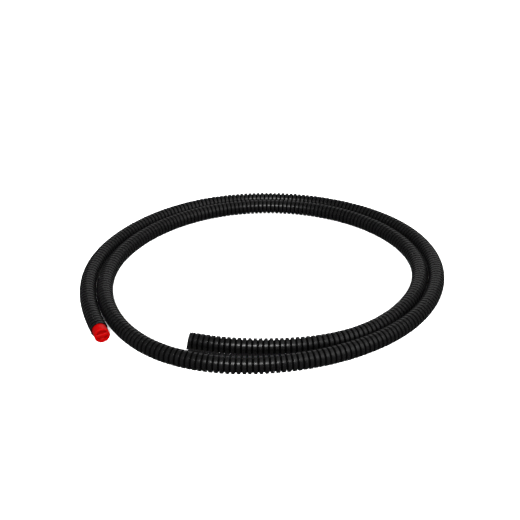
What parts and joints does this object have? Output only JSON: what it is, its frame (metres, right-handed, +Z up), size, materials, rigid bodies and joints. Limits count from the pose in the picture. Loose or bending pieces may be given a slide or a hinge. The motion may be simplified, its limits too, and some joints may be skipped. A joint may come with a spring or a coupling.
{
  "type": "drain auger guide hose",
  "caption": "Corrugated guide hose for a drain-cleaning cable, lying in a loose flat coil, open at its inner end and closed at its outer end by a push-in plug with a grip bar.",
  "frame": {"origin": "on the surface that the hose lies on, under the middle of the coil's box", "axes": "+Z up out of the coil's plane; the hose runs clockwise seen from above, from the plug's end at -X -Y to the open end; +Y away from the two ends"},
  "size_m": [0.8221, 0.8052, 0.036],
  "materials": {
    "hose": "satin black moulded plastic",
    "plug": "bright red moulded plastic, half gloss"
  },
  "bodies": {
    "hose": {"guide_hose_01": "hose", "guide_hose_02": "hose", "guide_hose_03": "hose", "guide_hose_04": "hose", "guide_hose_05": "hose", "guide_hose_06": "hose", "guide_hose_07": "hose", "guide_hose_08": "hose", "guide_hose_09": "hose", "guide_hose_10": "hose", "guide_hose_11": "hose", "guide_hose_12": "hose", "guide_hose_13": "hose", "guide_hose_14": "hose", "guide_hose_15": "hose", "guide_hose_16": "hose"},
    "plug": {"end_plug": "plug"}
  },
  "joints": [
    {"name": "plug_slide", "type": "slide", "parent": "hose", "child": "plug", "axis": [0.3916, -0.9201, 0], "range_m": [0, 0.026]}
  ]
}
